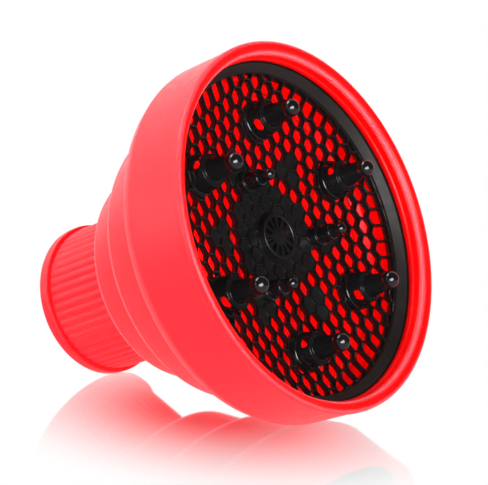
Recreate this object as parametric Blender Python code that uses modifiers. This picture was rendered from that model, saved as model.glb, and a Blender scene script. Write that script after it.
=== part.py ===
"""Collapsible hair-dryer diffuser, modelled at real size in metres.

The diffuser stands on its neck with its mouth up: +Z runs along its axis from the neck to the mouth, and
the origin is the centre of the neck's end face.  A silicone body (neck, two fold rings and a bowl, joined
by thin living-hinge webs) holds a dished black grille with six large and three small hollow prongs and a
plain rosette cap.  Each fold is modelled as a ring that slides into the next larger one.
"""
import math

import bmesh
import bpy
from mathutils import Vector

MM = 0.001
GAP = 0.3 * MM                      # running gap between pieces that touch
ROUND_STEPS = 40                    # facets around the silicone body

# Driving dimensions of the silicone body
LIP_R = 76.2 * MM                   # outer radius of the mouth
WALL_R = 75.9 * MM                  # outer radius of the bowl's wall
LIP_TOP = 130.0 * MM                # height of the rim above the neck's end
BORE_R = 28.6 * MM                  # inside of the neck
GRIP_R = 26.4 * MM                  # inner edge of the rings that grip the dryer's barrel
GRIP_LOW = (6.5 * MM, 22.0 * MM)    # lower ends of the two grip rings
NECK_R = 32.2 * MM                  # crests of the neck's flutes
NECK_TOP = 47.9 * MM
BEAD_R = 33.7 * MM                  # plain bead at the neck's end
BEAD_TOP = 5.9 * MM
FLUTES = 52
FLUTE_DEPTH = 0.7 * MM
FLUTE_PHASE = math.radians(44.0)    # direction of one crest
BACK_SMALL = 48.2 * MM              # back faces of the two fold rings and the bowl
BACK_LARGE = 71.0 * MM
BACK_BOWL = 96.8 * MM
SMALL_BACK_R = 44.6 * MM            # outer radii of the fold rings at their backs and fronts
SMALL_FRONT_R = 53.4 * MM
LARGE_BACK_R = 57.8 * MM
LARGE_FRONT_R = 68.2 * MM
RING_WALL = 2.1 * MM                # wall of a fold ring, and of the thick ridge at its back
RIDGE_WALL = 2.4 * MM
SEAT_STEP = 0.1 * MM                # a ring's front stands this far past the next one's back
WEB_T = 1.2 * MM
WEB_REACH = 1.6 * MM                # how far a web goes over the ring that it carries

# Driving dimensions of the grille
PLATE_R = 71.3 * MM
BAND_OUT_R = 70.3 * MM              # the plain band slopes down from here ...
BAND_IN_R = 66.4 * MM               # ... to here
BAND_TOP = 121.2 * MM
BAND_LOW = 117.85 * MM
GRILLE_T = 3.2 * MM
CELL_PITCH = 7.15 * MM
RIB_W = 1.0 * MM
SOLID_RINGS = 3                     # rings of cells around the centre that have a solid floor
HEX_RINGS = 9                       # last ring of whole cells; the next one is stretched to the band
DISH_CENTRE = 105.9 * MM            # mid-thickness height of the dish at its centre
DISH_UNIT = 75.0 * MM               # radius that the dish's curve is stated for
HUB_R = 20.4 * MM                   # solid middle of the grille
CAP_HOLE_R = 6.0 * MM
LARGE_HOLE_R = 7.4 * MM             # holes in the grille that take the prongs' spigots
SMALL_HOLE_R = 3.4 * MM
SPIGOT_GAP = 0.3 * MM
BAND_STEPS = 54

# Driving dimensions of the prongs and the cap
LARGE_RING_R = 48.0 * MM
LARGE_COUNT = 6
SMALL_RING_R = 25.7 * MM
SMALL_COUNT = 3
COLLAR_W = 0.5 * MM                 # how far the grille's collar reaches past a prong's foot
LARGE_FOOT_R = 8.1 * MM
SMALL_FOOT_R = 4.6 * MM
FOOT_GAP = 0.6 * MM                 # a foot rests on the dish's higher side, this far above it
CAP_R = 9.75 * MM
CAP_TOP = 110.8 * MM
CAP_WEDGES = 12


# ------------------------------------------------------------------ scene and materials

def clear_scene():
    for obj in list(bpy.data.objects):
        bpy.data.objects.remove(obj, do_unlink=True)


def material(name, colour, roughness):
    mat = bpy.data.materials.new(name)
    mat.use_nodes = True
    shader = mat.node_tree.nodes["Principled BSDF"]
    shader.inputs["Base Color"].default_value = (*colour, 1.0)
    shader.inputs["Roughness"].default_value = roughness
    shader.inputs["Metallic"].default_value = 0.0
    return mat


def collection(name):
    group = bpy.data.collections.new(name)
    bpy.context.scene.collection.children.link(group)
    return group


def add_object(name, mesh, group, mat=None):
    obj = bpy.data.objects.new(name, mesh)
    group.objects.link(obj)
    if mat:
        mesh.materials.append(mat)
    return obj


def make_cutter(obj):
    obj.hide_render = True
    obj.display_type = "WIRE"
    return obj


# ------------------------------------------------------------------ modelling helpers

def screw(obj, steps):
    """Turns a profile that lies in the XZ plane once around Z."""
    mod = obj.modifiers.new("Turn", "SCREW")
    mod.axis = "Z"
    mod.angle = 2.0 * math.pi
    mod.steps = mod.render_steps = steps
    mod.use_merge_vertices = True
    mod.merge_threshold = 0.00001
    mod.use_smooth_shade = False
    return mod


def turned(name, profile, group, mat=None, steps=ROUND_STEPS, closed=True):
    """A turned piece; the profile runs top to bottom down its outer side."""
    mesh = bpy.data.meshes.new(name)
    count = len(profile)
    edges = [(i, i + 1) for i in range(count - 1)]
    if closed:
        edges.append((count - 1, 0))
    mesh.from_pydata([(r, 0.0, z) for r, z in profile], edges, [])
    obj = add_object(name, mesh, group, mat)
    screw(obj, steps)
    return obj


def bake(obj):
    """Replaces a curve object by a mesh object of the same shape, welded and in world coordinates."""
    graph = bpy.context.evaluated_depsgraph_get()
    mesh = bpy.data.meshes.new_from_object(obj.evaluated_get(graph))
    mesh.transform(obj.matrix_world)
    bm = bmesh.new()
    bm.from_mesh(mesh)
    bmesh.ops.remove_doubles(bm, verts=bm.verts, dist=0.00001)
    bmesh.ops.recalc_face_normals(bm, faces=bm.faces)
    bm.to_mesh(mesh)
    bm.free()
    solid = bpy.data.objects.new(obj.name + "_solid", mesh)
    for group in obj.users_collection:
        group.objects.link(solid)
    bpy.data.objects.remove(obj, do_unlink=True)
    return solid


def outline_plate(name, outlines, low, high, group):
    """A flat plate between two heights: the first outline is its edge, the others are its holes."""
    curve = bpy.data.curves.new(name, "CURVE")
    curve.dimensions = "2D"
    curve.fill_mode = "BOTH"
    curve.extrude = 0.5 * (high - low)
    for outline in outlines:
        spline = curve.splines.new("POLY")
        spline.points.add(len(outline) - 1)
        for point, (x, y) in zip(spline.points, outline):
            point.co = (x, y, 0.0, 1.0)
        spline.use_cyclic_u = True
    obj = add_object(name, curve, group)
    obj.location.z = 0.5 * (high + low)
    bpy.context.view_layer.update()
    return bake(obj)


def boolean(obj, other, operation):
    mod = obj.modifiers.new(operation.title(), "BOOLEAN")
    mod.operation = operation
    mod.solver = "EXACT"
    mod.object = other
    return mod


def circle_points(radius, count, centre=(0.0, 0.0), phase=0.0):
    angles = [phase + 2.0 * math.pi * i / count for i in range(count)]
    return [(centre[0] + radius * math.cos(a), centre[1] + radius * math.sin(a)) for a in angles]


def polar(radius, degrees):
    angle = math.radians(degrees)
    return Vector((radius * math.cos(angle), radius * math.sin(angle)))


# ------------------------------------------------------------------ silicone body

def bowl_shell(group, mat):
    """The bowl: chamfered lip, groove that snaps over the grille's edge, rounded back edge."""
    lip, wall, top, back = LIP_R / MM, WALL_R / MM, LIP_TOP / MM, BACK_BOWL / MM
    profile = [
        (70.7, 126.6), (72.7, top - 0.9), (74.6, top), (lip - 0.4, top - 0.6), (lip, top - 1.8),
        (lip, top - 3.0), (wall, top - 3.8), (wall, back + 7.2), (wall - 0.8, back + 4.0),
        (wall - 2.3, back + 1.4), (wall - 3.8, back), (70.2, back), (70.2, back + 1.8),
        (wall - 3.0, back + 4.6), (wall - 3.0, 115.0), (69.7, 116.9), (69.7, 118.0), (71.6, 118.0),
        (71.6, 121.5), (70.3, 121.5), (70.3, 123.6), (70.7, 124.2),
    ]
    return turned("bowl_shell", [(r * MM, z * MM) for r, z in profile], group, mat)


def fold_ring(name, back_r, back_z, front_r, front_z, group, mat):
    """A conical ring: thin wall that widens towards its front, thick rounded ridge at its back."""
    wall = RING_WALL
    inner = back_r - RIDGE_WALL
    slope = (front_r - back_r) / (front_z - back_z)
    knee = back_z + 4.4 * MM
    profile = [
        (front_r - wall, front_z), (front_r, front_z),
        (back_r + slope * 1.8 * MM, back_z + 1.8 * MM), (back_r - 0.2 * MM, back_z + 0.6 * MM),
        (back_r - 1.0 * MM, back_z), (inner, back_z), (inner, back_z + 2.2 * MM),
        (back_r + slope * (knee - back_z) - wall, knee),
    ]
    return turned(name, profile, group, mat)


def hinge_web(name, inner_r, outer_r, low, group, mat):
    """Thin flexible web that joins one ring's front edge to the next one's back edge."""
    profile = [(inner_r, low + WEB_T), (outer_r, low + WEB_T), (outer_r, low), (inner_r, low)]
    return turned(name, profile, group, mat)


def neck_sleeve(group, mat, tools):
    """Fluted sleeve with a plain end bead outside and two grip rings inside."""
    crests = circle_points(NECK_R, FLUTES, phase=FLUTE_PHASE)
    valleys = circle_points(NECK_R - FLUTE_DEPTH, FLUTES, phase=FLUTE_PHASE + math.pi / FLUTES)
    fluted_edge = [point for pair in zip(crests, valleys) for point in pair]
    bore = circle_points(BORE_R + 1.0 * MM, ROUND_STEPS)
    fluted = make_cutter(outline_plate("fluted_tube", [fluted_edge, bore], 0.8 * BEAD_TOP, NECK_TOP, tools))
    inside = BORE_R + 1.8 * MM
    core = [
        (BORE_R, NECK_TOP - 0.4 * MM), (inside, NECK_TOP - 0.4 * MM), (inside, BEAD_TOP),
        (BEAD_R - 0.6 * MM, BEAD_TOP), (BEAD_R, BEAD_TOP - 1.2 * MM), (BEAD_R, 2.2 * MM),
        (BEAD_R - 0.8 * MM, 0.8 * MM), (31.6 * MM, 0.0), (28.0 * MM, 0.0), (27.2 * MM, 1.2 * MM),
    ]
    for bottom in GRIP_LOW:
        core += [(BORE_R, bottom), (GRIP_R, bottom + 1.2 * MM), (GRIP_R, bottom + 2.4 * MM),
                 (BORE_R, bottom + 4.2 * MM)]
    sleeve = turned("neck_sleeve", core, group, mat)
    boolean(sleeve, fluted, "UNION")
    return sleeve


# ------------------------------------------------------------------ grille

def dish_height(radius):
    """Height of the dish's mid-thickness surface: nearly spherical, a little steeper at the edge."""
    share = radius / DISH_UNIT
    return DISH_CENTRE + DISH_UNIT * (0.128 * share ** 2 + 0.035 * share ** 4)


def clip(polygon, normal, limit):
    """Keeps the part of a convex polygon where the dot product with normal is at most limit."""
    kept = []
    for here, after in zip(polygon, polygon[1:] + polygon[:1]):
        d_here = here.dot(normal) - limit
        d_after = after.dot(normal) - limit
        if d_here <= 0.0:
            kept.append(here)
        if d_here * d_after < 0.0:
            kept.append(here.lerp(after, d_here / (d_here - d_after)))
    return kept


def polygon_area(polygon):
    pairs = zip(polygon, polygon[1:] + polygon[:1])
    return 0.5 * abs(sum(a.x * b.y - b.x * a.y for a, b in pairs))


def turn(point, degrees):
    angle = math.radians(degrees)
    return Vector((point.x * math.cos(angle) - point.y * math.sin(angle),
                   point.x * math.sin(angle) + point.y * math.cos(angle)))


def prong_places():
    """Centre and solid radius of everything that stands on the grille: (x, y), radius of the collar."""
    places = [(polar(LARGE_RING_R, 60.0 * i), LARGE_FOOT_R + COLLAR_W) for i in range(LARGE_COUNT)]
    places += [(polar(SMALL_RING_R, 90.0 + 120.0 * i), SMALL_FOOT_R) for i in range(SMALL_COUNT)]
    return places


def is_open(ring, side, step):
    """Cells near the centre, and a cluster of three on each flat of the pattern, have solid floors."""
    if ring <= SOLID_RINGS:
        return False
    if ring == 5 and step in (2, 3):
        return False
    if ring == 6 and step == 3:
        return False
    on_small_prong = ring == 4 and step == 2 and side % 2 == 0
    return not on_small_prong


def hex_cell(centre, heading):
    """Hexagonal opening between ribs, with one corner towards the heading."""
    corner = (CELL_PITCH - RIB_W) / math.sqrt(3.0)
    return [centre + polar(corner, heading + 60.0 * i) for i in range(6)]


def stretched_cell(centre, heading):
    """Opening of the outermost ring: its outer corner is replaced by two long parallel sides."""
    corner = (CELL_PITCH - RIB_W) / math.sqrt(3.0)
    reach = polar(12.0 * MM, heading)
    inner = [centre + polar(corner, heading + angle) for angle in (120.0, 180.0, 240.0)]
    return inner + [inner[2] + reach, inner[0] + reach]


def cell_outlines():
    """All openings of the honeycomb, side by side around the six flats of the pattern."""
    outlines = []
    column = CELL_PITCH * math.sqrt(3.0) / 2.0
    smallest = 0.3 * CELL_PITCH ** 2
    for side in range(6):
        heading = 30.0 + 60.0 * side + 60.0
        for ring in range(SOLID_RINGS + 1, HEX_RINGS + 2):
            for step in range(ring if ring <= HEX_RINGS else ring + 1):
                if not is_open(ring, side, step):
                    continue
                local = Vector((column * ring, CELL_PITCH * (step - 0.5 * ring)))
                centre = turn(local, heading)
                cell = hex_cell(centre, heading) if ring <= HEX_RINGS else stretched_cell(centre, heading)
                cell = trimmed(cell, centre)
                if len(cell) > 2 and polygon_area(cell) > smallest:
                    outlines.append([(p.x, p.y) for p in cell])
    return outlines


def trimmed(cell, centre):
    """The cell cut back from the band around the grille and from the collars of the prongs."""
    edge = BAND_IN_R - 0.5 * MM
    middle = sum((Vector(p) for p in cell), Vector((0.0, 0.0))) / len(cell)
    cell = clip(cell, middle.normalized(), edge * math.cos(math.pi / BAND_STEPS))
    for place, radius in prong_places():
        away = place - centre
        if away.length < radius + CELL_PITCH:
            toward = away.normalized()
            cell = clip(cell, toward, place.dot(toward) - radius)
        if len(cell) < 3:
            return []
    return cell


def grille_hub(tools):
    """Solid middle of the grille, a little thinner than its ribs, with the hole that holds the cap."""
    half = 0.5 * GRILLE_T - 0.3 * MM
    radii = (HUB_R, 0.6 * HUB_R, CAP_HOLE_R)
    top = [(r, dish_height(r) + half) for r in reversed(radii)]
    bottom = [(r, dish_height(r) - half) for r in radii]
    return make_cutter(turned("grille_hub", top + bottom, tools, steps=36))


def grille_plate(group, mat, tools):
    """Dished honeycomb disc inside a plain conical band."""
    edge = circle_points(BAND_IN_R + 0.7 * MM, BAND_STEPS)
    holes = cell_outlines()
    holes += [circle_points(LARGE_HOLE_R, 20, polar(LARGE_RING_R, 60.0 * i)) for i in range(LARGE_COUNT)]
    holes += [circle_points(SMALL_HOLE_R, 12, polar(SMALL_RING_R, 90.0 + 120.0 * i)) for i in range(SMALL_COUNT)]
    holes.append(circle_points(HUB_R - 0.9 * MM, 36))
    half = 0.5 * GRILLE_T
    disc = outline_plate("honeycomb", [edge] + holes, -half, half, tools)
    for vertex in disc.data.vertices:
        vertex.co.z += dish_height(math.hypot(vertex.co.x, vertex.co.y))
    make_cutter(disc)
    foot = 113.2 * MM
    band = [
        (BAND_IN_R, BAND_LOW), (BAND_OUT_R, BAND_TOP), (PLATE_R, BAND_TOP), (PLATE_R, 118.3 * MM),
        (69.4 * MM, 118.3 * MM), (67.7 * MM, 116.4 * MM), (67.7 * MM, foot), (BAND_IN_R, foot),
    ]
    plate = turned("grille_plate", band, group, mat, steps=BAND_STEPS)
    boolean(plate, disc, "UNION")
    boolean(plate, grille_hub(tools), "UNION")
    return plate


# ------------------------------------------------------------------ prongs and cap

def ball_profile(radius, centre_z, start_deg, count):
    """Points of a ball's outline from its top down to start_deg below the horizontal."""
    span = 90.0 + start_deg
    angles = [math.radians(90.0 - span * i / count) for i in range(count + 1)]
    return [(radius * math.cos(a), centre_z + radius * math.sin(a)) for a in angles]


def large_prong(index, group, mat, tools):
    """Hollow finger: wide conical foot with three side windows, tapered shaft, ball tip."""
    seat = dish_height(LARGE_RING_R + LARGE_FOOT_R) + 0.5 * GRILLE_T + FOOT_GAP
    spigot = dish_height(LARGE_RING_R) - 0.5 * GRILLE_T
    ball_z = 129.4 * MM
    profile = [(0.0, ball_z + 3.8 * MM)] + ball_profile(3.8 * MM, ball_z, 20.0, 3)[1:]
    profile += [
        (5.2 * MM, 119.1 * MM), (6.6 * MM, 118.8 * MM), (LARGE_FOOT_R, seat),
        (LARGE_HOLE_R - SPIGOT_GAP, seat), (LARGE_HOLE_R - SPIGOT_GAP, spigot), (5.9 * MM, spigot), (5.5 * MM, 117.0 * MM),
        (3.6 * MM, 118.6 * MM), (2.4 * MM, 127.0 * MM), (0.0, 128.2 * MM),
    ]
    name = f"large_prong_{index + 1}"
    prong = turned(name, profile, group, mat, steps=12, closed=False)
    windows = []
    for turn_deg in (0.0, 120.0, 240.0):
        bm = bmesh.new()
        bmesh.ops.create_cube(bm, size=1.0)
        bmesh.ops.scale(bm, vec=(9.0 * MM, 5.0 * MM, 3.6 * MM), verts=bm.verts)
        bmesh.ops.translate(bm, vec=(6.0 * MM, 0.0, 115.9 * MM), verts=bm.verts)
        mesh = bpy.data.meshes.new(f"{name}_window")
        bm.to_mesh(mesh)
        bm.free()
        window = make_cutter(add_object(f"{name}_window", mesh, tools))
        window.rotation_euler.z = math.radians(60.0 * index + turn_deg)
        window.location = (*polar(LARGE_RING_R, 60.0 * index), 0.0)
        windows.append(window)
    prong.location = (*polar(LARGE_RING_R, 60.0 * index), 0.0)
    prong.rotation_euler.z = math.radians(60.0 * index)
    for window in windows:
        boolean(prong, window, "DIFFERENCE")
    return prong


def small_prong(index, group, mat):
    """Short stepped finger with a ball tip."""
    seat = dish_height(SMALL_RING_R + SMALL_FOOT_R) + 0.5 * GRILLE_T + FOOT_GAP
    spigot = dish_height(SMALL_RING_R) - 0.5 * GRILLE_T
    ball_z = 121.75 * MM
    profile = [(0.0, ball_z + 2.6 * MM)] + ball_profile(2.6 * MM, ball_z, 20.0, 3)[1:]
    profile += [
        (2.9 * MM, 118.0 * MM), (3.4 * MM, 117.8 * MM), (3.6 * MM, 112.9 * MM), (4.5 * MM, 112.7 * MM),
        (SMALL_FOOT_R, seat), (SMALL_HOLE_R - SPIGOT_GAP, seat), (SMALL_HOLE_R - SPIGOT_GAP, spigot),
        (0.0, spigot),
    ]
    prong = turned(f"small_prong_{index + 1}", profile, group, mat, steps=10, closed=False)
    prong.location = (*polar(SMALL_RING_R, 90.0 + 120.0 * index), 0.0)
    return prong


def centre_cap(group, mat, tools):
    """Round cap over the middle of the grille, with a plain rosette of wedge-shaped recesses."""
    seat = DISH_CENTRE + 0.5 * GRILLE_T + 0.5 * MM
    recess = 1.2 * MM
    profile = [
        (0.0, CAP_TOP), (CAP_R - 0.5 * MM, CAP_TOP), (CAP_R, CAP_TOP - 0.5 * MM), (CAP_R, seat),
        (5.6 * MM, seat), (5.6 * MM, seat - GRILLE_T), (0.0, seat - GRILLE_T),
    ]
    cap = turned("centre_cap", profile, group, mat, steps=24, closed=False)
    bm = bmesh.new()
    half = math.pi / CAP_WEDGES * 0.55
    for i in range(CAP_WEDGES):
        angle = 2.0 * math.pi * (i + 0.5) / CAP_WEDGES
        outer = 8.3 * MM
        inner = 4.2 * MM
        tip = (inner * math.cos(angle), inner * math.sin(angle))
        ends = [(outer * math.cos(angle + s), outer * math.sin(angle + s)) for s in (-half, half)]
        low = [bm.verts.new((x, y, CAP_TOP - recess)) for x, y in (tip, *ends)]
        face = bm.faces.new(low)
        grown = bmesh.ops.extrude_face_region(bm, geom=[face])
        moved = [v for v in grown["geom"] if isinstance(v, bmesh.types.BMVert)]
        bmesh.ops.translate(bm, vec=(0.0, 0.0, 2.0 * recess), verts=moved)
    bmesh.ops.recalc_face_normals(bm, faces=bm.faces)
    mesh = bpy.data.meshes.new("rosette_recesses")
    bm.to_mesh(mesh)
    bm.free()
    boolean(cap, make_cutter(add_object("rosette_recesses", mesh, tools)), "DIFFERENCE")
    return cap


# ------------------------------------------------------------------ assembly

def main():
    clear_scene()
    parts = collection("dryer_diffuser")
    tools = collection("cutters")
    silicone = material("coral_silicone", (0.87, 0.055, 0.075), 0.5)
    black = material("black_plastic", (0.010, 0.010, 0.011), 0.35)

    body = [
        bowl_shell(parts, silicone),
        fold_ring("fold_ring_large", LARGE_BACK_R, BACK_LARGE, LARGE_FRONT_R, BACK_BOWL + SEAT_STEP,
                  parts, silicone),
        fold_ring("fold_ring_small", SMALL_BACK_R, BACK_SMALL, SMALL_FRONT_R, BACK_LARGE + SEAT_STEP,
                  parts, silicone),
        neck_sleeve(parts, silicone, tools),
        hinge_web("hinge_web_large", LARGE_FRONT_R - WEB_REACH - GAP, 70.2 * MM - GAP,
                  BACK_BOWL + SEAT_STEP + GAP, parts, silicone),
        hinge_web("hinge_web_small", SMALL_FRONT_R - WEB_REACH - GAP, LARGE_BACK_R - RIDGE_WALL - GAP,
                  BACK_LARGE + SEAT_STEP + GAP, parts, silicone),
        hinge_web("hinge_web_neck", NECK_R - 2.8 * MM, SMALL_BACK_R - RIDGE_WALL - GAP,
                  NECK_TOP + GAP, parts, silicone),
    ]
    disc = [grille_plate(parts, black, tools), centre_cap(parts, black, tools)]
    disc += [large_prong(i, parts, black, tools) for i in range(LARGE_COUNT)]
    disc += [small_prong(i, parts, black) for i in range(SMALL_COUNT)]

    root = bpy.data.objects.new("dryer_diffuser_origin", None)
    parts.objects.link(root)
    for piece in body + disc:
        piece.parent = root
        piece.data.shade_smooth()
        piece.data.set_sharp_from_angle(angle=math.radians(35.0))


main()
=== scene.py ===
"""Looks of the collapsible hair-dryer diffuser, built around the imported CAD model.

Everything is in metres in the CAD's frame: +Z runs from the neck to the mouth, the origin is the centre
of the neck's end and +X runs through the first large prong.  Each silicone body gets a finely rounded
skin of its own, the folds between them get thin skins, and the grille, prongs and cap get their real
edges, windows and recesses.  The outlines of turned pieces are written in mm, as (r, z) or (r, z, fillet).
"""
import math

import bmesh
import bpy
from mathutils import Matrix, Vector
from mathutils.kdtree import KDTree


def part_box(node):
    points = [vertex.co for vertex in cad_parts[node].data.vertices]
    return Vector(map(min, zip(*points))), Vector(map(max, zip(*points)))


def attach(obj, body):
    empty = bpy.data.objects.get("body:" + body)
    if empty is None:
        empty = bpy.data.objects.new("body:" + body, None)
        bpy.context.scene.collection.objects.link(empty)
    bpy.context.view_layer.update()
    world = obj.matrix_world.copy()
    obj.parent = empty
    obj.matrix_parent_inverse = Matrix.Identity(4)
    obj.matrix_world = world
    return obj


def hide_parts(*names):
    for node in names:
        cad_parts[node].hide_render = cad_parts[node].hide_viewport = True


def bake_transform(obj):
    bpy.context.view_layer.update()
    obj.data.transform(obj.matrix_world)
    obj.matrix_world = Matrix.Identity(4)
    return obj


MM = 0.001
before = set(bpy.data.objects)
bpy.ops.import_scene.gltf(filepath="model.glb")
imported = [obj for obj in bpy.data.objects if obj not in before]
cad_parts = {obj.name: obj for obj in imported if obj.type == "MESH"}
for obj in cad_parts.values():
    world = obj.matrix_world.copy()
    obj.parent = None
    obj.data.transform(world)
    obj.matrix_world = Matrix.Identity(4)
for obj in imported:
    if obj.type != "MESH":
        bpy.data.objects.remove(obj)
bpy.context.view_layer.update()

# Driving sizes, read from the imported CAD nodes
RIM_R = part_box("bowl_shell")[1].x
RIM_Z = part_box("bowl_shell")[1].z
BOWL_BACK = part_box("bowl_shell")[0].z
LARGE_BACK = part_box("fold_ring_large")[0].z
SMALL_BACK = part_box("fold_ring_small")[0].z
LARGE_FRONT_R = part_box("fold_ring_large")[1].x
SMALL_FRONT_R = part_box("fold_ring_small")[1].x
LARGE_BACK_R = 57.8 * MM
SMALL_BACK_R = 44.6 * MM
NECK_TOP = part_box("neck_sleeve")[1].z
NECK_R = 32.2 * MM
BEAD_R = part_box("neck_sleeve")[1].x
BEAD_TOP = 5.9 * MM
BORE_R = 28.6 * MM
GRIP_R = 26.4 * MM
FLUTES = 52
FLUTE_DEPTH = 0.95 * MM
FLUTE_PHASE = math.radians(44.0)
FLUTE_SAMPLES = 8
FLUTE_FADE = 1.2 * MM               # height over which the flutes run out above the bead
GRIP_HEIGHTS = (6.5, 22.0)          # mm
WALL = 2.1 * MM
WEB_T = 0.9 * MM                    # thin walls at the folds
WEB_STEPS = 14
PAINTED_HIGHLIGHT_ATTRIBUTE = "painted_highlight_mark"                   # attribute that marks the edges that get painted highlights

# Meshes
ROUND_STEPS = 192
CAP_STEPS = 96
LARGE_STEPS = 56
SMALL_STEPS = 48
FILLET_STEPS = 4
SHARP_DEG = 32.0
PLATE_SHARP_DEG = 40.0
ORIGIN = Vector((0.0, 0.0))

# Grille
PLATE_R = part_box("grille_plate")[1].x
BAND_OUT_R = 70.3 * MM
BAND_IN_R = 66.8 * MM
BAND_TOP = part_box("grille_plate")[1].z
BAND_LOW = 117.85 * MM
BAND_FOOT = 113.2 * MM
GRILLE_T = 3.2 * MM
RIB_DEPTH = 2.8 * MM
CELL_PITCH = 7.15 * MM
RIB_W = 0.72 * MM                   # across the ribs' crests
RIB_EDGE = 0.33 * MM                # rounding along the ribs' edges
RIB_SLOPE = 0.45 * MM               # how far each side of a rib slopes out towards its back
SOLID_RINGS = 3
HEX_RINGS = 9
SLIVER = 0.09                       # cells smaller than this share of the squared pitch are left out
CELL_DEPTH = 0.75 * MM              # how far closed cells lie below the plate's top
CELL_RISE = 0.2 * MM                # how far the backs of closed cells lie above the plate's back
CELL_GROWTH = 1.12                  # closed cells reach into the ribs
STRETCH = 14.0 * MM                 # how much longer the outermost slots are before the band trims them
DISH_CENTRE = 105.9 * MM
DISH_UNIT = 75.0 * MM
DISH_SQUARE = 0.128                 # the dish's rise at DISH_UNIT, with the radius squared
DISH_FOURTH = 0.035                 # and with its fourth power
OUTLINE_STEP = 0.55 * MM

# Prongs and cap
LARGE_RING_R = 48.0 * MM
SMALL_RING_R = 25.7 * MM
LARGE_FOOT_R = 8.1 * MM
SMALL_FOOT_R = 4.6 * MM
LARGE_COLLAR = 0.35 * MM            # plain rings left round the feet and the cap
SMALL_COLLAR = 0.3 * MM
CAP_COLLAR = 0.4 * MM
LARGE_HOLE_R = 6.4 * MM
LARGE_COUNT = 6
SMALL_COUNT = 3
LARGE_BALL_R = 3.8                  # mm, as are the next four
SMALL_BALL_R = 2.6
LARGE_BALL_Z = 129.4                # centres of the ball tips
SMALL_BALL_Z = 121.75
WINDOW_Z = 116.2                    # middle of the windows in the large feet
CAP_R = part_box("centre_cap")[1].x
CAP_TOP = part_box("centre_cap")[1].z
CAP_WEDGES = 12
WEDGE_DEPTH = 2.0 * MM
WEDGE_IN_R = 3.9 * MM
WEDGE_OUT_R = 8.15 * MM
WEDGE_SHARE = 0.62                  # of the pitch that a wedge takes up at its outer end


# ------------------------------------------------------------------ materials

def new_material(name):
    """A material with a Principled shader; returns the material, its node tree and the shader."""
    mat = bpy.data.materials.new(name)
    mat.use_nodes = True
    tree = mat.node_tree
    return mat, tree, tree.nodes["Principled BSDF"]


def fill(tree, made, inputs):
    """Sets a node's inputs, each to a value or to the socket that feeds it."""
    for key, value in inputs.items():
        if isinstance(value, bpy.types.NodeSocket):
            tree.links.new(value, made.inputs[key])
        else:
            made.inputs[key].default_value = value


def node(tree, kind, inputs=None, **settings):
    """A new shader node with its settings and its inputs."""
    made = tree.nodes.new("ShaderNode" + kind)
    for setting, value in settings.items():
        setattr(made, setting, value)
    fill(tree, made, inputs or {})
    return made


def object_noise(tree, scale, detail=3.0):
    """Noise in object coordinates, so that it stays on the piece."""
    coords = node(tree, "TexCoord")
    noise = node(tree, "TexNoise", {"Scale": scale, "Detail": detail, "Vector": coords.outputs["Object"]})
    return noise.outputs["Fac"]


def ramp(tree, source, low, high):
    """Maps the middle of a noise's range to a range of values or colours."""
    made = node(tree, "ValToRGB", {"Fac": source})
    for element, place, value in zip(made.color_ramp.elements, (0.3, 0.7), (low, high)):
        colour = value if isinstance(value, tuple) else (value, value, value)
        element.position = place
        element.color = (*colour, 1.0)
    return made.outputs["Color"]


def grain(tree, scale, depth):
    """Fine moulded texture as a bumped normal."""
    height = object_noise(tree, scale)
    return node(tree, "Bump", {"Strength": 1.0, "Distance": depth, "Height": height}).outputs["Normal"]


def smooth_range(tree, value, start, end, low=0.0, high=1.0):
    """Runs smoothly from low to high while the value runs from start to end."""
    return node(tree, "MapRange", {
        "Value": value, "From Min": start, "From Max": end, "To Min": low, "To Max": high,
    }, interpolation_type="SMOOTHSTEP").outputs["Result"]


def plastic(name, tones, roughness, grain_scale, grain_depth, specular=0.5):
    """Moulded plastic: two close tones, uneven roughness and a fine grain."""
    mat, tree, shader = new_material(name)
    fill(tree, shader, {
        "Base Color": ramp(tree, object_noise(tree, 60.0, 4.0), *tones),
        "Roughness": ramp(tree, object_noise(tree, 240.0, 5.0), *roughness),
        "Specular IOR Level": specular,
        "Normal": grain(tree, grain_scale, grain_depth),
    })
    return mat


def painted_sheen_share(tree):
    """Share of the painted sheen: 0 on faces that look towards the piece's axis, 1 on faces that look away
    from it.
    """
    coords = node(tree, "TexCoord")
    flat = node(tree, "VectorMath", {0: coords.outputs["Object"], 1: (1.0, 1.0, 0.0)},
                operation="MULTIPLY")
    radial = node(tree, "VectorMath", {0: flat.outputs["Vector"]}, operation="NORMALIZE")
    facing = node(tree, "VectorMath", {0: coords.outputs["Normal"], 1: radial.outputs["Vector"]},
                  operation="DOT_PRODUCT")
    return smooth_range(tree, facing.outputs["Value"], -0.3, 0.6)


def colour_mix(tree, share, first, second):
    """The first colour where the share is 0, the second where it is 1."""
    return node(tree, "Mix", {"Factor": share, "A": first, "B": (*second, 1.0)},
                data_type="RGBA").outputs["Result"]


def silicone_material(name, tones, painted_sheen_tone, painted_highlight_tone, roughness):
    """Coral silicone: soft and translucent, with a painted sheen that makes its outer faces paler and
    painted highlights on the marked edges.
    """
    mat, tree, shader = new_material(name)
    body = ramp(tree, object_noise(tree, 25.0), *tones)
    # the outer faces are painted paler: a painted sheen
    with_painted_sheen = colour_mix(tree, painted_sheen_share(tree), body, painted_sheen_tone)
    # painted highlights on the edges that the attribute marks
    painted_highlight_mark = node(tree, "Attribute", attribute_name=PAINTED_HIGHLIGHT_ATTRIBUTE)
    fill(tree, shader, {
        "Base Color": colour_mix(tree, painted_highlight_mark.outputs["Fac"], with_painted_sheen, painted_highlight_tone),
        "Roughness": ramp(tree, object_noise(tree, 320.0, 4.0), *roughness),
        "Specular IOR Level": 0.26,
        "Subsurface Weight": 1.0,
        "Subsurface Radius": (1.0, 0.06, 0.08),
        "Subsurface Scale": 9.0 * MM,
        "Normal": grain(tree, 1800.0, 0.02 * MM),
    })
    return mat


# The paler tone of the outer faces is a painted sheen, and the pale tone of the marked edges is a painted
# highlight.
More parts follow.
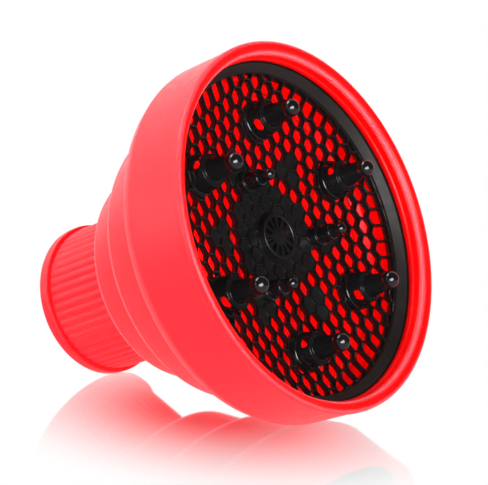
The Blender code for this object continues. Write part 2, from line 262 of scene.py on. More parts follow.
SILICONE = silicone_material("coral_silicone", tones=((0.95, 0.001, 0.001), (0.97, 0.002, 0.003)),
                             painted_sheen_tone=(0.96, 0.013, 0.022), painted_highlight_tone=(0.97, 0.20, 0.24),
                             roughness=(0.33, 0.43))
GRILLE_BLACK = plastic("grille_black", tones=((0.003, 0.003, 0.0033), (0.005, 0.0048, 0.005)),
                       roughness=(0.15, 0.22), grain_scale=2600.0, grain_depth=0.004 * MM)
BAND_BLACK = plastic("band_black", tones=((0.008, 0.0066, 0.0064), (0.012, 0.0098, 0.0094)),
                     roughness=(0.42, 0.52), grain_scale=3200.0, grain_depth=0.02 * MM, specular=0.2)
PRONG_BLACK = plastic("prong_black", tones=((0.004, 0.004, 0.0045), (0.006, 0.006, 0.0065)),
                      roughness=(0.10, 0.17), grain_scale=900.0, grain_depth=0.002 * MM)
CAP_BLACK = plastic("cap_black", tones=((0.003, 0.003, 0.0033), (0.006, 0.006, 0.0063)),
                    roughness=(0.28, 0.38), grain_scale=2600.0, grain_depth=0.008 * MM)


# ------------------------------------------------------------------ mesh helpers

def new_object(name, mesh, mat, sharp_deg=SHARP_DEG):
    """A smooth-shaded object in the scene; its edges are sharp past an angle."""
    obj = bpy.data.objects.new(name, mesh)
    bpy.context.scene.collection.objects.link(obj)
    if mat:
        mesh.materials.append(mat)
    mesh.shade_smooth()
    mesh.set_sharp_from_angle(angle=math.radians(sharp_deg))
    return obj


def mesh_of(name, bm):
    """The finished bmesh as a mesh."""
    mesh = bpy.data.meshes.new(name)
    bm.to_mesh(mesh)
    bm.free()
    return mesh


def add_prism(bm, low, high):
    """A closed solid between two loops of as many points."""
    low, high = ([bm.verts.new(place) for place in loop] for loop in (low, high))
    bm.faces.new(low[::-1])
    bm.faces.new(high)
    for i in range(len(low)):
        j = (i + 1) % len(low)
        bm.faces.new((low[i], low[j], high[j], high[i]))


def filleted(corners):
    """A closed outline in mm, (r, z) or (r, z, fillet) per corner, as rounded points in metres."""
    points = []
    count = len(corners)
    for i, (r, z, *fillet) in enumerate(corners):
        here = Vector((r, z))
        if not fillet:
            points.append(here * MM)
            continue
        before = Vector(corners[i - 1][:2]) - here
        after = Vector(corners[(i + 1) % count][:2]) - here
        half_turn = 0.5 * before.angle(after)
        reach = fillet[0] / math.tan(half_turn)
        reach = min(reach, 0.48 * before.length, 0.48 * after.length)
        start = here + before.normalized() * reach
        end = here + after.normalized() * reach
        for k in range(FILLET_STEPS + 1):
            t = k / FILLET_STEPS
            points.append(((1 - t) ** 2 * start + 2 * t * (1 - t) * here + t ** 2 * end) * MM)
    return points


def turned(name, outline, mat, steps=ROUND_STEPS, phase=0.0, radius_change=None, closed=True):
    """A closed outline of (r, z) points turned round Z; an open one must start and end on the axis."""
    bm = bmesh.new()
    rings = []
    for k in range(steps):
        angle = phase + 2.0 * math.pi * k / steps
        ring = []
        for r, z in outline:
            radius = r + (radius_change(angle, r, z) if radius_change else 0.0)
            ring.append(bm.verts.new((radius * math.cos(angle), radius * math.sin(angle), z)))
        rings.append(ring)
    pairs = len(outline) if closed else len(outline) - 1
    for k in range(steps):
        here, after = rings[k], rings[(k + 1) % steps]
        for i in range(pairs):
            j = (i + 1) % len(outline)
            bm.faces.new((here[i], after[i], after[j], here[j]))
    bmesh.ops.remove_doubles(bm, verts=bm.verts, dist=1e-7)
    bmesh.ops.dissolve_degenerate(bm, edges=bm.edges, dist=1e-7)
    bmesh.ops.recalc_face_normals(bm, faces=bm.faces)
    return new_object(name, mesh_of(name, bm), mat)


def cut_out(obj, cutters):
    """Cuts the cutters out of the object, and removes them."""
    for cutter in cutters:
        cut = obj.modifiers.new("Cut", "BOOLEAN")
        cut.operation = "DIFFERENCE"
        cut.solver = "EXACT"
        cut.object = cutter
    graph = bpy.context.evaluated_depsgraph_get()
    mesh = bpy.data.meshes.new_from_object(obj.evaluated_get(graph))
    obj.modifiers.clear()
    obj.data = mesh
    for cutter in cutters:
        bpy.data.objects.remove(cutter)


def polar(radius, degrees):
    """The point at a radius and a direction from the origin."""
    angle = math.radians(degrees)
    return Vector((radius * math.cos(angle), radius * math.sin(angle)))


# ------------------------------------------------------------------ silicone body

def paint_highlights_on_edges(piece, edges):
    """Marks round edges that get a painted highlight: (r, z) on the outline, how wide and how strong."""
    marks = piece.data.attributes.new(PAINTED_HIGHLIGHT_ATTRIBUTE, "FLOAT", "POINT")
    for vertex, mark in zip(piece.data.vertices, marks.data):
        place = Vector((math.hypot(vertex.co.x, vertex.co.y), vertex.co.z))
        mark.value = max(strength * max(0.0, 1.0 - (place - Vector((r, z))).length / reach)
                         for r, z, reach, strength in edges)


def bowl_skin():
    """Bowl with its rounded lip, the groove that holds the grille and a rounded back edge."""
    rim, top, back = RIM_R / MM, RIM_Z / MM, BOWL_BACK / MM
    wall = rim - 0.3
    inner, back_inner = wall - 3.0, 70.2
    seat, seat_z = 69.7, 118.0
    groove, groove_top, collar = 71.6, 121.5, 70.3
    lip = [(70.7, top - 3.4, 0.35), (71.5, top - 1.9, 0.2), (71.75, top - 1.9, 0.15),
           (72.5, top - 0.7, 0.4), (74.4, top, 1.0), (rim, top - 0.5, 1.5), (rim, top - 3.1, 0.3)]
    outside = [(wall, top - 3.5, 0.3), (wall, back + 6.0, 6.0)]
    ridge = [(inner, back - 0.2, 1.8), (back_inner, back, 0.5), (back_inner, back + 1.8, 0.6)]
    inside = [(inner, back + 4.6, 1.0), (inner, 115.0, 0.8), (seat, 116.9, 0.3), (seat, seat_z, 0.3)]
    slot = [(groove, seat_z), (groove, groove_top), (collar, groove_top, 0.2), (collar, 123.5, 0.2),
            (70.8, 124.1, 0.3)]
    outline = filleted(lip + outside + ridge + inside + slot)
    piece = turned("bowl_skin", outline, SILICONE)
    # painted highlights along the lip's outer edge, the lip's small step and the bowl's back edge
    paint_highlights_on_edges(piece, [(RIM_R - 0.6 * MM, RIM_Z - 0.1 * MM, 0.8 * MM, 0.4),
                      (groove * MM, RIM_Z - 2.0 * MM, 0.8 * MM, 0.7),
                      ((inner + 0.2) * MM, BOWL_BACK + 0.3 * MM, 0.9 * MM, 0.8)])
    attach(piece, "bowl")
    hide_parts("bowl_shell")
    return piece


def ring_skin(name, back_r, back_z, front_r, front_z, body, cad_node):
    """Conical fold ring: thin wall, thick rounded ridge at its back."""
    back, front = back_z / MM, front_z / MM
    r_back, r_front, wall = back_r / MM, front_r / MM, WALL / MM
    slope = (r_front - r_back) / (front - back)
    ridge_top, ridge_in, knee = 2.6, r_back - 2.4, 4.4
    outline = filleted([
        (r_front - wall, front, 0.4), (r_front, front, 0.4),
        (r_back + slope * ridge_top + 0.25, back + ridge_top, 3.0),
        (r_back - 0.1, back, 1.4), (ridge_in, back, 0.4), (ridge_in, back + 2.2, 0.5),
        (r_back + slope * knee - wall, back + knee, 1.5),
    ])
    piece = turned(name, outline, SILICONE)
    # painted highlight along the ridge
    paint_highlights_on_edges(piece, [(back_r - 0.1 * MM, back_z + 0.4 * MM, 1.1 * MM, 1.0)])
    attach(piece, body)
    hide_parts(cad_node)
    return piece


def fold_skin(name, outer, inner, cad_node):
    """Thin wall between two silicone bodies."""
    a, b = Vector(outer), Vector(inner)
    across = (b - a).orthogonal().normalized() * 0.5 * WEB_T
    line = [a.lerp(b, k / WEB_STEPS) for k in range(WEB_STEPS + 1)]
    outline = [p + across for p in line] + [p - across for p in reversed(line)]
    piece = turned(name, outline, SILICONE)
    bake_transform(piece)
    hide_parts(cad_node)
    return piece


def flute(angle, r, z):
    """Change of radius of the neck's outer wall: rounded ribs with narrow valleys between them."""
    if r < NECK_R - 0.5 * MM or not BEAD_TOP + 0.4 * MM < z < NECK_TOP + 1.0 * MM:
        return 0.0
    wave = 1.0 - abs(math.cos(0.5 * FLUTES * (angle - FLUTE_PHASE)))
    fade = min(1.0, (z - BEAD_TOP) / FLUTE_FADE)
    return -FLUTE_DEPTH * wave * fade


def neck_skin():
    """Fluted neck with a plain bead at its end and two grip rings in its bore."""
    crest, bead, top = NECK_R / MM, BEAD_TOP / MM, NECK_TOP / MM
    bore, grip, end = BORE_R / MM, GRIP_R / MM, BEAD_R / MM
    gap = crest - 0.8
    corners = [
        (crest, top), (crest, bead + 1.4), (crest, bead + 0.8), (crest - 0.1, bead + 0.45),
        (gap, bead + 0.15), (gap, bead - 0.1),
        (end, bead - 0.35, 0.7), (end, 0.0, 2.2), (28.0, 0.0, 0.6), (27.2, 1.2, 0.5),
    ]
    for height in GRIP_HEIGHTS:
        corners += [(bore, height, 0.4), (grip, height + 1.2, 0.6), (grip, height + 2.4, 0.6),
                    (bore, height + 4.2, 0.6)]
    corners.append((bore, top, 0.3))
    outline = filleted(corners)
    piece = turned("neck_skin", outline, SILICONE, FLUTES * FLUTE_SAMPLES, FLUTE_PHASE, flute)
    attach(piece, "neck")
    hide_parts("neck_sleeve")
    return piece


def silicone_body():
    """The four bodies' skins and the thin walls at the three folds."""
    pieces = [
        bowl_skin(),
        ring_skin("ring_large_skin", LARGE_BACK_R, LARGE_BACK, LARGE_FRONT_R, BOWL_BACK + 0.1 * MM,
                  "ring_large", "fold_ring_large"),
        ring_skin("ring_small_skin", SMALL_BACK_R, SMALL_BACK, SMALL_FRONT_R, LARGE_BACK + 0.1 * MM,
                  "ring_small", "fold_ring_small"),
        neck_skin(),
        fold_skin("fold_large_skin", (70.7 * MM, BOWL_BACK + 1.5 * MM), (67.2 * MM, BOWL_BACK + 0.6 * MM),
                  "hinge_web_large"),
        fold_skin("fold_small_skin", (55.8 * MM, LARGE_BACK + 1.5 * MM), (52.4 * MM, LARGE_BACK + 0.6 * MM),
                  "hinge_web_small"),
        fold_skin("fold_neck_skin", (42.6 * MM, SMALL_BACK + 1.2 * MM), (30.4 * MM, NECK_TOP - 0.3 * MM),
                  "hinge_web_neck"),
    ]


# ------------------------------------------------------------------ grille

def dish_height(radius):
    """Height of the dish's mid-thickness surface, as in the CAD."""
    share = radius / DISH_UNIT
    return DISH_CENTRE + DISH_UNIT * (DISH_SQUARE * share ** 2 + DISH_FOURTH * share ** 4)


def sampled(polygon):
    """The polygon's outline as evenly spaced points."""
    points = []
    for here, after in zip(polygon, polygon[1:] + polygon[:1]):
        count = max(1, round((after - here).length / OUTLINE_STEP))
        points += [here.lerp(after, k / count) for k in range(count)]
    return points


def arc_between(start, end, centre, radius):
    """Points along the circle from start to end, the short way round."""
    first = math.atan2(*(start - centre).yx)
    turn = (math.atan2(*(end - centre).yx) - first + math.pi) % (2.0 * math.pi) - math.pi
    count = max(2, round(abs(turn) * radius / OUTLINE_STEP))
    angles = [first + turn * k / count for k in range(count + 1)]
    return [centre + Vector((radius * math.cos(a), radius * math.sin(a))) for a in angles]


def kept_runs(outline, keep):
    """Runs of consecutive kept points of a closed outline."""
    count = len(outline)
    start = next(i for i in range(count) if keep[i] and not keep[i - 1])
    runs = []
    for i in range(start, start + count):
        if keep[i % count]:
            if not keep[i % count - 1]:
                runs.append([])
            runs[-1].append(outline[i % count])
    return runs


def cut_by_circle(outline, centre, radius, keep_inside):
    """The parts of an outline on one side of a circle, closed along the circle."""
    keep = [((p - centre).length < radius) == keep_inside for p in outline]
    if all(keep):
        return [outline]
    if not any(keep):
        return []
    runs = kept_runs(outline, keep)
    if keep_inside:
        joined = []
        for run, following in zip(runs, runs[1:] + runs[:1]):
            joined += run + arc_between(run[-1], following[0], centre, radius)
        return [joined]
    return [run + arc_between(run[-1], run[0], centre, radius) for run in runs]


def area(outline):
    """Area inside a closed outline, negative if it runs clockwise."""
    pairs = zip(outline, outline[1:] + outline[:1])
    return 0.5 * sum(a.x * b.y - b.x * a.y for a, b in pairs)


def triples(outline):
    """Each point of a closed outline between its two neighbours."""
    return zip(outline[-1:] + outline[:-1], outline, outline[1:] + outline[:1])


def is_bend(before, here, after):
    """Whether an outline turns at a point that lies apart from its neighbours."""
    arriving, leaving = here - before, after - here
    apart = arriving.length > 1e-6 and leaving.length > 1e-6
    return apart and arriving.angle(leaving) > math.radians(2.5)


def softened(outline):
    """Rounds an outline's corners a little and drops the points that its straight stretches don't need."""
    for _ in range(2):
        outline = [0.25 * a + 0.5 * b + 0.25 * c for a, b, c in triples(outline)]
    return [here for before, here, after in triples(outline) if is_bend(before, here, after)]


def is_closed(ring, side, step):
    """Cells near the centre, a cluster of three on each flat, and those under the small prongs."""
    if ring <= SOLID_RINGS or (ring == 5 and step in (2, 3)) or (ring == 6 and step == 3):
        return True
    return ring == 4 and step == 2 and side % 2 == 0


def cell_polygon(centre, heading, stretched):
    """Opening between ribs: a hexagon, or in the outermost ring a pointed slot that reaches the band."""
    corner = (CELL_PITCH - RIB_W) / math.sqrt(3.0)
    if not stretched:
        return [centre + polar(corner, heading + 60.0 * i) for i in range(6)]
    reach = polar(STRETCH, heading)
    inner = [centre + polar(corner, heading + angle) for angle in (120.0, 180.0, 240.0)]
    return inner + [inner[2] + reach, inner[0] + reach]


def trimmed(shape, collars):
    """The parts of a cell's outline inside the band and outside the collars, without the slivers."""
    shapes = cut_by_circle(shape, ORIGIN, BAND_IN_R - 0.1 * MM, True)
    for place, radius in collars:
        shapes = [part for whole in shapes for part in cut_by_circle(whole, place, radius, False)]
    return [part for part in shapes if abs(area(part)) > SLIVER * CELL_PITCH ** 2]


def honeycomb():
    """(outline, closed) of every cell, trimmed by the band, the cap and the collars of the prongs."""
    collars = [(polar(LARGE_RING_R, 60.0 * i), LARGE_FOOT_R + LARGE_COLLAR) for i in range(LARGE_COUNT)]
    collars += [(polar(SMALL_RING_R, 90.0 + 120.0 * i), SMALL_FOOT_R + SMALL_COLLAR)
                for i in range(SMALL_COUNT)]
    collars.append((ORIGIN, CAP_R + CAP_COLLAR))
    column = CELL_PITCH * math.sqrt(3.0) / 2.0
    cells = []
    for side in range(6):
        heading = 90.0 + 60.0 * side
        for ring in range(1, HEX_RINGS + 2):
            stretched = ring > HEX_RINGS
            for step in range(ring + 1 if stretched else ring):
                local = Vector((column * ring, CELL_PITCH * (step - 0.5 * ring)))
                centre = Matrix.Rotation(math.radians(heading), 2) @ local
                whole = sampled(cell_polygon(centre, heading, stretched))
                closed = is_closed(ring, side, step)
                cells += [(softened(part), closed) for part in trimmed(whole, collars)]
    return cells


def circle(radius, count, centre=ORIGIN):
    """Points along a circle, counterclockwise."""
    return [centre + polar(radius, 360.0 * k / count) for k in range(count)]


def rounded_plate(name, outlines, thickness, edge, mat):
    """A flat plate round z = 0 with rounded edges: the first outline is its rim, the others its holes."""
    curve = bpy.data.curves.new(name, "CURVE")
    curve.dimensions = "2D"
    curve.fill_mode = "BOTH"
    curve.extrude = 0.5 * thickness - edge
    curve.bevel_depth = edge
    curve.bevel_resolution = 1
    curve.offset = -edge
    for i, outline in enumerate(outlines):
        if (area(outline) > 0.0) != (i == 0):
            outline = outline[::-1]
        spline = curve.splines.new("POLY")
        spline.points.add(len(outline) - 1)
        for point, place in zip(spline.points, outline):
            point.co = (place.x, place.y, 0.0, 1.0)
        spline.use_cyclic_u = True
    source = bpy.data.objects.new(name + "_curve", curve)
    bpy.context.scene.collection.objects.link(source)
    graph = bpy.context.evaluated_depsgraph_get()
    mesh = bpy.data.meshes.new_from_object(source.evaluated_get(graph))
    bpy.data.objects.remove(source)
    bm = bmesh.new()
    bm.from_mesh(mesh)
    bmesh.ops.remove_doubles(bm, verts=bm.verts, dist=1e-6)
    bmesh.ops.recalc_face_normals(bm, faces=bm.faces)
    bm.to_mesh(mesh)
    bm.free()
    return new_object(name, mesh, mat, PLATE_SHARP_DEG)


def slope_walls(obj, outlines, thickness, slope):
    """Moves the walls of a plate's holes inwards towards its back, so that the ribs get wider there."""
    walls = []
    for outline in outlines:
        inwards = 1.0 if area(outline) > 0.0 else -1.0
        share = min(1.0, abs(area(outline)) / (0.5 * CELL_PITCH ** 2))
        for before, here, after in triples(outline):
            along = (after - before).normalized()
            walls.append((here, Vector((-along.y, along.x)) * inwards * slope * share))
    tree = KDTree(len(walls))
    for i, (place, _) in enumerate(walls):
        tree.insert((place.x, place.y, 0.0), i)
    tree.balance()
    for vertex in obj.data.vertices:
        _, i, distance = tree.find((vertex.co.x, vertex.co.y, 0.0))
        if distance < 3.0 * RIB_EDGE:
            depth = 0.5 - vertex.co.z / thickness
            vertex.co.x += walls[i][1].x * depth
            vertex.co.y += walls[i][1].y * depth


def dish(obj, lift):
    """Bends a flat plate to the dish and lifts it."""
    for vertex in obj.data.vertices:
        vertex.co.z += dish_height(math.hypot(vertex.co.x, vertex.co.y)) + lift


def closed_cells(outlines):
    """Thin floors that close cells, a little below the ribs' tops."""
    bm = bmesh.new()
    for outline in outlines:
        middle = sum(outline, ORIGIN) / len(outline)
        grown = [middle + (p - middle) * CELL_GROWTH for p in outline]
        add_prism(bm, *([(p.x, p.y, dish_height(p.length) + height) for p in grown]
                        for height in (CELL_RISE - 0.5 * GRILLE_T, 0.5 * GRILLE_T - CELL_DEPTH)))
    bmesh.ops.recalc_face_normals(bm, faces=bm.faces)
    return new_object("grille_floors", mesh_of("grille_floors", bm), CAP_BLACK)


def band():
    """Conical band round the honeycomb, with the flange that sits in the bowl's groove."""
    low, top, foot = BAND_LOW / MM, BAND_TOP / MM, BAND_FOOT / MM
    inner, outer, edge = BAND_IN_R / MM, BAND_OUT_R / MM, PLATE_R / MM
    step, flange, skirt = top - 0.9, 118.3, 67.8
    return turned("grille_band", filleted([
        (inner, low, 0.3), (outer - 0.4, top - 0.2, 0.2), (outer - 0.2, step), (outer + 0.2, step),
        (outer + 0.2, top), (edge, top, 0.3), (edge, flange, 0.3), (69.4, flange, 0.4),
        (skirt, 116.4, 0.6), (skirt, foot, 0.3), (inner, foot, 0.2),
    ]), BAND_BLACK)


def grille():
    """The plate's open honeycomb, the floors of its closed cells and its band."""
    cells = honeycomb()
    rim = circle(BAND_IN_R + 0.6 * MM, 160)
    feet = [circle(LARGE_HOLE_R, 32, polar(LARGE_RING_R, 60.0 * i)) for i in range(LARGE_COUNT)]
    openings = [outline for outline, _ in cells]
    ribs = rounded_plate("grille_ribs", [rim] + openings + feet, RIB_DEPTH, RIB_EDGE, GRILLE_BLACK)
    slope_walls(ribs, openings, RIB_DEPTH, RIB_SLOPE)
    dish(ribs, 0.5 * (GRILLE_T - RIB_DEPTH))
    for piece in (ribs, closed_cells([outline for outline, closed in cells if closed]), band()):
        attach(piece, "bowl")
        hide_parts("grille_plate")


# ------------------------------------------------------------------ prongs and cap

def ball(radius, centre_z, below_deg, count):
    """Outline of a ball in mm from its top down to below_deg under the horizontal."""
    span = 90.0 + below_deg
    angles = [math.radians(90.0 - span * k / count) for k in range(count + 1)]
    return [(radius * math.cos(a), centre_z + radius * math.sin(a)) for a in angles]


def rounded_rectangle(width, height, corner):
    """Outline in mm, centred on zero."""
    outline = []
    steps = 5
    for quarter, (sx, sy) in enumerate(((1, 1), (-1, 1), (-1, -1), (1, -1))):
        cx, cy = sx * (0.5 * width - corner), sy * (0.5 * height - corner)
        for k in range(steps + 1):
            angle = math.radians(90.0 * (quarter + k / steps))
            outline.append((cx + corner * math.cos(angle), cy + corner * math.sin(angle)))
    return outline


def window_cutter(name, turn_deg):
    """A rounded bar that cuts a window through one side of a foot."""
    bm = bmesh.new()
    window = rounded_rectangle(5.2, 3.7, 1.7)
    add_prism(bm, *([(x * MM, y * MM, (WINDOW_Z + z) * MM) for y, z in window] for x in (3.4, 11.0)))
    bmesh.ops.recalc_face_normals(bm, faces=bm.faces)
    bm.transform(Matrix.Rotation(math.radians(turn_deg), 4, "Z"))
    return new_object(name, mesh_of(name, bm), None)


def large_prong_mesh():
    """Hollow foot with three windows, tapered shaft and ball tip, standing on the origin's axis."""
    seat = (dish_height(LARGE_RING_R) + 0.5 * GRILLE_T) / MM - 0.9
    foot = LARGE_FOOT_R / MM
    shaft = [(3.45, 127.5, 0.1), (5.15, 119.0, 0.2), (6.6, 118.85, 0.15), (foot - 0.3, seat + 1.7, 0.3),
             (foot, seat + 1.5, 0.25), (foot + 0.05, seat)]
    hollow = [(6.7, seat), (6.0, 115.5), (5.6, 117.6, 0.6), (3.6, 118.6, 0.5), (2.4, 127.0, 0.5),
              (0.0, 128.2)]
    outline = filleted(ball(LARGE_BALL_R, LARGE_BALL_Z, 26.0, 14) + shaft + hollow)
    prong = turned("large_prong_form", outline, PRONG_BLACK, LARGE_STEPS, closed=False)
    cut_out(prong, [window_cutter(f"window_{k}", 120.0 * k) for k in range(3)])
    mesh = prong.data
    bpy.data.objects.remove(prong)
    mesh.shade_smooth()
    mesh.set_sharp_from_angle(angle=math.radians(SHARP_DEG))
    return mesh


def small_prong_mesh():
    """Two-stepped finger with a ball tip."""
    seat = (dish_height(SMALL_RING_R) + 0.5 * GRILLE_T) / MM - 0.5
    outline = filleted(ball(SMALL_BALL_R, SMALL_BALL_Z, 30.0, 12) + [
        (2.95, 118.1, 0.1), (3.5, 117.9, 0.25), (3.75, 112.0, 0.1), (4.55, 111.8, 0.25), (4.65, seat),
        (0.0, seat),
    ])
    prong = turned("small_prong_form", outline, PRONG_BLACK, SMALL_STEPS, closed=False)
    mesh = prong.data
    bpy.data.objects.remove(prong)
    return mesh


def place_prongs(mesh, label, count, ring_r, first_deg):
    """Copies of a prong, evenly round a ring."""
    for i in range(count):
        own = mesh.copy()
        heading = first_deg + 360.0 * i / count
        own.transform(Matrix.Rotation(math.radians(heading), 4, "Z"))
        own.transform(Matrix.Translation((*polar(ring_r, heading), 0.0)))
        piece = bpy.data.objects.new(f"{label}_{i + 1}_skin", own)
        bpy.context.scene.collection.objects.link(piece)
        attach(piece, "bowl")
        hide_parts(f"{label}_{i + 1}")


def wedge_cutter():
    """The recesses of the cap: wedges whose outer sides bulge a little."""
    bm = bmesh.new()
    half = 180.0 / CAP_WEDGES * WEDGE_SHARE
    for k in range(CAP_WEDGES):
        middle = 360.0 * (k + 0.5) / CAP_WEDGES
        wedge = [polar(WEDGE_IN_R, middle - 0.3 * half), polar(WEDGE_OUT_R, middle - half),
                 polar(WEDGE_OUT_R * 1.012, middle), polar(WEDGE_OUT_R, middle + half),
                 polar(WEDGE_IN_R, middle + 0.3 * half)]
        add_prism(bm, *([(p.x, p.y, z) for p in wedge]
                        for z in (CAP_TOP - WEDGE_DEPTH, CAP_TOP + 1.0 * MM)))
    bmesh.ops.recalc_face_normals(bm, faces=bm.faces)
    return new_object("cap_wedges", mesh_of("cap_wedges", bm), None)


def cap():
    """Round cap with a raised rim and twelve wedge-shaped recesses round a plain hub."""
    top, radius = CAP_TOP / MM, CAP_R / MM
    seat = (DISH_CENTRE + 0.5 * GRILLE_T) / MM - 0.6
    field = top - 0.25
    outline = filleted([
        (0.0, top - 0.15), (3.1, top - 0.15), (3.4, field), (radius - 1.5, field, 0.15),
        (radius - 1.3, top, 0.15), (radius - 0.1, top, 0.35), (radius, top - 2.0), (radius + 0.1, seat),
        (0.0, seat),
    ])
    piece = turned("cap_skin", outline, CAP_BLACK, CAP_STEPS, closed=False)
    cut_out(piece, [wedge_cutter()])
    piece.data.set_sharp_from_angle(angle=math.radians(SHARP_DEG))
    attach(piece, "bowl")
    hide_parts("centre_cap")


# ------------------------------------------------------------------ camera, floor and light

# Camera in the CAD's frame, in metres; its lens and sensor in mm
CAMERA_PLACE = Vector((0.36696, 0.33164, 0.49774))
CAMERA_FORWARD = Vector((-0.57102, -0.52101, -0.63441))
CAMERA_UP = Vector((0.47753, -0.83941, 0.25955))
LENS = 114.97
SENSOR = 36.0
LYING_SIDE = 124.1                  # direction, in degrees, of the side that the diffuser lies on
AIM = Vector((0.0, 0.0, 0.07))      # what the lights point at
FLOOR_HALF = 3.0                    # half the floor's width
FLOOR_GAP = 0.3 * MM                # between the floor and the lip and bead that lie on it
FLOOR_IN_GLOSS = 0.55               # the floor's brightness in reflections, against 1 to the eye
FLOOR_BOUNCE = 0.9                  # what is added to that for diffuse light
MIRROR_REACH = (0.131, 0.100)       # half axes of the ellipse that the mirror fades out in
MIRROR_TURN = -22.0                 # degrees
MIRROR_PLACE = 0.66                 # the ellipse's centre, as a share of the way from the bead to the lip
MIRROR_SHIFT = 16.0 * MM
BACKDROP = 1.0                      # brightness of the surround to the eye
SURROUND_BRIGHT = 1.3               # and of its bright and dim sides as light
SURROUND_DIM = 0.04
SOFTBOXES = (                       # name, direction, distance, size, power
    ("key", (-0.5, 0.85, 0.15), 0.9, (0.6, 0.6), 10.0),
    ("side", (-0.85, 0.15, 0.5), 1.0, (0.5, 0.8), 5.0),
    ("front", (0.33, 0.02, 0.92), 1.2, (0.6, 1.0), 26.0),
)


def place_camera():
    """The camera, where and how the values above put it."""
    data = bpy.data.cameras.new("camera")
    data.lens = LENS
    data.sensor_width = SENSOR
    data.clip_start = 0.01
    data.clip_end = 20.0
    camera = bpy.data.objects.new("camera", data)
    bpy.context.scene.collection.objects.link(camera)
    back = -CAMERA_FORWARD.normalized()
    right = CAMERA_UP.cross(back).normalized()
    up = back.cross(right)
    turn = Matrix((right, up, back)).transposed()
    camera.matrix_world = Matrix.Translation(CAMERA_PLACE) @ turn.to_4x4()
    bpy.context.scene.camera = camera


def lying_plane():
    """The two points where the lip and the neck's bead touch a flat surface, and its normal."""
    side = polar(1.0, LYING_SIDE)
    places = {}
    for name in ("bowl_shell", "neck_sleeve"):
        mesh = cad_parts[name].data
        places[name] = [(math.hypot(v.co.x, v.co.y), v.co.z) for v in mesh.vertices]
    tilt = math.radians(18.0)
    for _ in range(6):
        lip, bead = (max(places[name], key=lambda p: p[0] * math.cos(tilt) - p[1] * math.sin(tilt))
                     for name in ("bowl_shell", "neck_sleeve"))
        tilt = math.atan2(lip[0] - bead[0], lip[1] - bead[1])
    normal = Vector((-side.x * math.cos(tilt), -side.y * math.cos(tilt), math.sin(tilt)))
    return (*(Vector((side.x * r, side.y * r, z)) for r, z in (lip, bead)), normal)


def floor_material():
    """White floor that mirrors what stands on it, but only at a low angle and near its local origin.

    It is plain white to the eye, dimmer in reflections so that glossy edges keep their contrast, and
    brighter as a source of diffuse light.  From below it isn't there.
    """
    mat = bpy.data.materials.new("white_gloss_floor")
    mat.use_nodes = True
    tree = mat.node_tree
    tree.nodes.clear()
    path = node(tree, "LightPath")
    level = node(tree, "MapRange", {"Value": path.outputs["Is Camera Ray"], "To Min": FLOOR_IN_GLOSS,
                                    "To Max": 1.0})
    bounce = node(tree, "Math", {0: path.outputs["Is Diffuse Ray"], 1: FLOOR_BOUNCE,
                                 2: level.outputs["Result"]}, operation="MULTIPLY_ADD")
    white = node(tree, "Emission", {"Color": (1.0, 1.0, 1.0, 1.0), "Strength": bounce.outputs["Value"]})
    mirror = node(tree, "BsdfGlossy", {"Roughness": 0.06})
    coords = node(tree, "TexCoord")
    stretch = node(tree, "VectorMath", {0: coords.outputs["Object"], 1: (*MIRROR_REACH, 1.0)},
                   operation="DIVIDE")
    distance = node(tree, "VectorMath", {0: stretch.outputs["Vector"]}, operation="LENGTH")
    close = smooth_range(tree, distance.outputs["Value"], 0.05, 1.0, 1.0, 0.0)
    grazing = smooth_range(tree, node(tree, "LayerWeight").outputs["Facing"], 0.45, 0.72)
    direct = node(tree, "Math", {0: 1.0, 1: path.outputs["Is Diffuse Ray"]}, operation="SUBTRACT")
    share = node(tree, "Math", {0: close, 1: grazing}, operation="MULTIPLY")
    shown = node(tree, "Math", {0: share.outputs["Value"], 1: direct.outputs["Value"]},
                 operation="MULTIPLY")
    surface = node(tree, "MixShader", {"Fac": shown.outputs["Value"], 1: white.outputs["Emission"],
                                       2: mirror.outputs["BSDF"]})
    back = node(tree, "NewGeometry").outputs["Backfacing"]
    clear = node(tree, "BsdfTransparent")
    seen = node(tree, "MixShader", {"Fac": back, 1: surface.outputs["Shader"], 2: clear.outputs["BSDF"]})
    node(tree, "OutputMaterial", {"Surface": seen.outputs["Shader"]})
    return mat


def floor():
    """A large plane under the lying diffuser; its local origin and axes are those of the mirror's fade."""
    touch, other, normal = lying_plane()
    along = (touch - other).normalized()
    across = normal.cross(along)
    bm = bmesh.new()
    bmesh.ops.create_grid(bm, x_segments=1, y_segments=1, size=FLOOR_HALF)
    mesh = mesh_of("floor", bm)
    mesh.materials.append(floor_material())
    plane = bpy.data.objects.new("floor", mesh)
    bpy.context.scene.collection.objects.link(plane)
    turn = Matrix((along, across, normal)).transposed().to_4x4()
    turn @= Matrix.Rotation(math.radians(MIRROR_TURN), 4, "Z")
    centre = other.lerp(touch, MIRROR_PLACE) - MIRROR_SHIFT * across
    plane.matrix_world = Matrix.Translation(centre - normal * FLOOR_GAP) @ turn


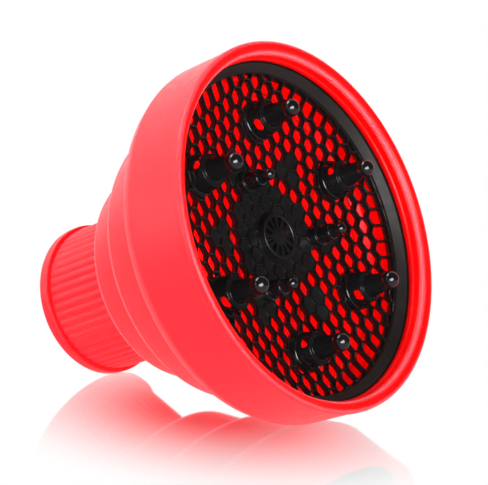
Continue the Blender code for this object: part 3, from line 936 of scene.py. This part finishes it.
def softbox(name, direction, distance, size, power):
    """An area light that points at the diffuser; its direction is right, up and towards the camera."""
    right = CAMERA_FORWARD.cross(CAMERA_UP).normalized()
    x, y, z = direction
    way = (right * x + CAMERA_UP * y - CAMERA_FORWARD * z).normalized()
    data = bpy.data.lights.new(name, "AREA")
    data.shape = "RECTANGLE"
    data.size, data.size_y = size
    data.energy = power
    light = bpy.data.objects.new(name, data)
    bpy.context.scene.collection.objects.link(light)
    turn = way.to_track_quat("Z", "Y").to_matrix().to_4x4()
    light.matrix_world = Matrix.Translation(AIM + way * distance) @ turn


def neck_light():
    """Light that reaches the inside through the neck; it isn't seen in reflections."""
    data = bpy.data.lights.new("neck_light", "AREA")
    data.shape = "DISK"
    data.size = 0.05
    data.energy = 0.2
    light = bpy.data.objects.new("neck_light", data)
    light.visible_glossy = False
    bpy.context.scene.collection.objects.link(light)
    light.matrix_world = Matrix.Translation((0.0, 0.0, -0.01)) @ Matrix.Rotation(math.pi, 4, "X")


def white_world():
    """A white surround.  What lights the object is white behind and left of it, and dim elsewhere."""
    world = bpy.data.worlds.new("white_surround")
    world.use_nodes = True
    tree = world.node_tree
    right = CAMERA_FORWARD.cross(CAMERA_UP).normalized()
    brightest = (0.8 * CAMERA_FORWARD.normalized() - 0.6 * right).normalized()
    coords = node(tree, "TexCoord")
    towards = node(tree, "VectorMath", {0: coords.outputs["Generated"], 1: brightest},
                   operation="DOT_PRODUCT")
    level = smooth_range(tree, towards.outputs["Value"], -0.1, 0.5, SURROUND_DIM, SURROUND_BRIGHT)
    path = node(tree, "LightPath")
    seen = node(tree, "Mix", {"Factor": path.outputs["Is Camera Ray"], "A": level, "B": BACKDROP})
    fill(tree, tree.nodes["Background"], {"Color": (1.0, 1.0, 1.0, 1.0),
                                          "Strength": seen.outputs["Result"]})
    bpy.context.scene.world = world


def studio():
    """The surround and the lights."""
    bpy.context.scene.view_settings.view_transform = "Standard"
    white_world()
    for settings in SOFTBOXES:
        softbox(*settings)
    neck_light()


silicone_body()
grille()
place_prongs(large_prong_mesh(), "large_prong", LARGE_COUNT, LARGE_RING_R, 0.0)
place_prongs(small_prong_mesh(), "small_prong", SMALL_COUNT, SMALL_RING_R, 90.0)
cap()
place_camera()
floor()
studio()
